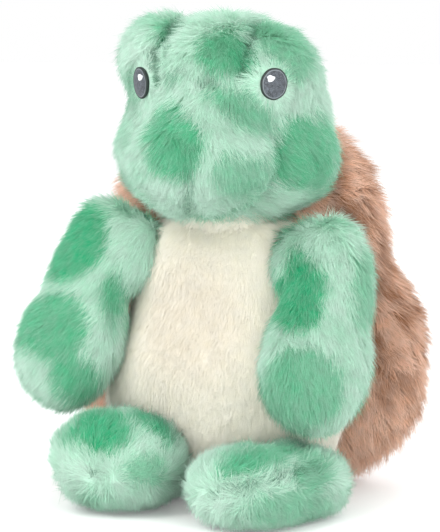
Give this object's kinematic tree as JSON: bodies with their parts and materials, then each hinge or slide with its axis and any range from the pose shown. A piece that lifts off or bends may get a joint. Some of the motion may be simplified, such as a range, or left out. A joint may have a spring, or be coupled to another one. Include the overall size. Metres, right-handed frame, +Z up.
{
  "type": "plush turtle",
  "caption": "Sitting plush turtle in long mint and green pile with a cream belly, a padded tan shell, embroidered eyes and soft limbs that move.",
  "frame": {"origin": "middle of the flat seat, on the surface that the turtle sits on", "axes": "+Z up through the head, -Y the way the turtle faces, +X towards its left arm"},
  "size_m": [0.1306, 0.1243, 0.1698],
  "materials": {
    "cream_plush": "long soft pile",
    "green_plush": "long soft pile",
    "mint_plush": "long soft pile",
    "pale_mint_plush": "long soft pile",
    "tan_plush": "long soft pile",
    "eye_thread": "satin embroidery thread",
    "glint_thread": "satin embroidery thread",
    "stuffing_fibre": "loose polyester fibre",
    "pouch_cloth": "woven cloth filled with pellets"
  },
  "bodies": {
    "torso": {"belly_panel": "cream_plush", "back_panel": "cream_plush", "seat_panel": "cream_plush", "torso_stuffing": "stuffing_fibre", "pellet_pouch": "pouch_cloth", "shell_top_panel": "tan_plush", "shell_lining_panel": "tan_plush", "shell_padding": "stuffing_fibre"},
    "neck": {"neck_stuffing": "stuffing_fibre"},
    "head": {"head_gusset": "green_plush", "head_left_panel": "mint_plush", "head_right_panel": "mint_plush", "chin_panel": "pale_mint_plush", "head_stuffing": "stuffing_fibre", "left_eye": "eye_thread", "right_eye": "eye_thread", "left_eye_glint": "glint_thread", "right_eye_glint": "glint_thread"},
    "left_arm": {"left_arm_outer_panel": "green_plush", "left_arm_inner_panel": "mint_plush", "left_arm_stuffing": "stuffing_fibre"},
    "right_arm": {"right_arm_outer_panel": "green_plush", "right_arm_inner_panel": "mint_plush", "right_arm_stuffing": "stuffing_fibre"},
    "left_leg": {"left_leg_upper_panel": "green_plush", "left_leg_sole_panel": "mint_plush", "left_leg_stuffing": "stuffing_fibre"},
    "right_leg": {"right_leg_upper_panel": "green_plush", "right_leg_sole_panel": "mint_plush", "right_leg_stuffing": "stuffing_fibre"}
  },
  "joints": [
    {"name": "head_turn", "type": "hinge", "parent": "torso", "child": "neck", "pos_m": [0, -0.004, 0.0973], "axis": [0, 0, 1], "range_deg": [-20, 20], "stiffness_Nm_per_rad": 0.08},
    {"name": "head_nod", "type": "hinge", "parent": "neck", "child": "head", "pos_m": [0, -0.004, 0.0973], "axis": [1, 0, 0], "range_deg": [-4, 10], "stiffness_Nm_per_rad": 0.6},
    {"name": "left_arm_lift", "type": "hinge", "parent": "torso", "child": "left_arm", "pos_m": [0.02363, -0.00725, 0.0953], "axis": [-0.5356, -0.7371, 0.412], "range_deg": [0, 25], "stiffness_Nm_per_rad": 0.02},
    {"name": "right_arm_lift", "type": "hinge", "parent": "torso", "child": "right_arm", "pos_m": [-0.02336, -0.00846, 0.0953], "axis": [-0.5215, 0.8134, -0.2575], "range_deg": [0, 25], "stiffness_Nm_per_rad": 0.02},
    {"name": "left_leg_splay", "type": "hinge", "parent": "torso", "child": "left_leg", "pos_m": [0.02753, -0.02523, 0], "axis": [0, 0, 1], "range_deg": [0, 30], "stiffness_Nm_per_rad": 0.03},
    {"name": "right_leg_splay", "type": "hinge", "parent": "torso", "child": "right_leg", "pos_m": [-0.03344, -0.02067, 0], "axis": [0, 0, -1], "range_deg": [0, 30], "stiffness_Nm_per_rad": 0.03}
  ]
}
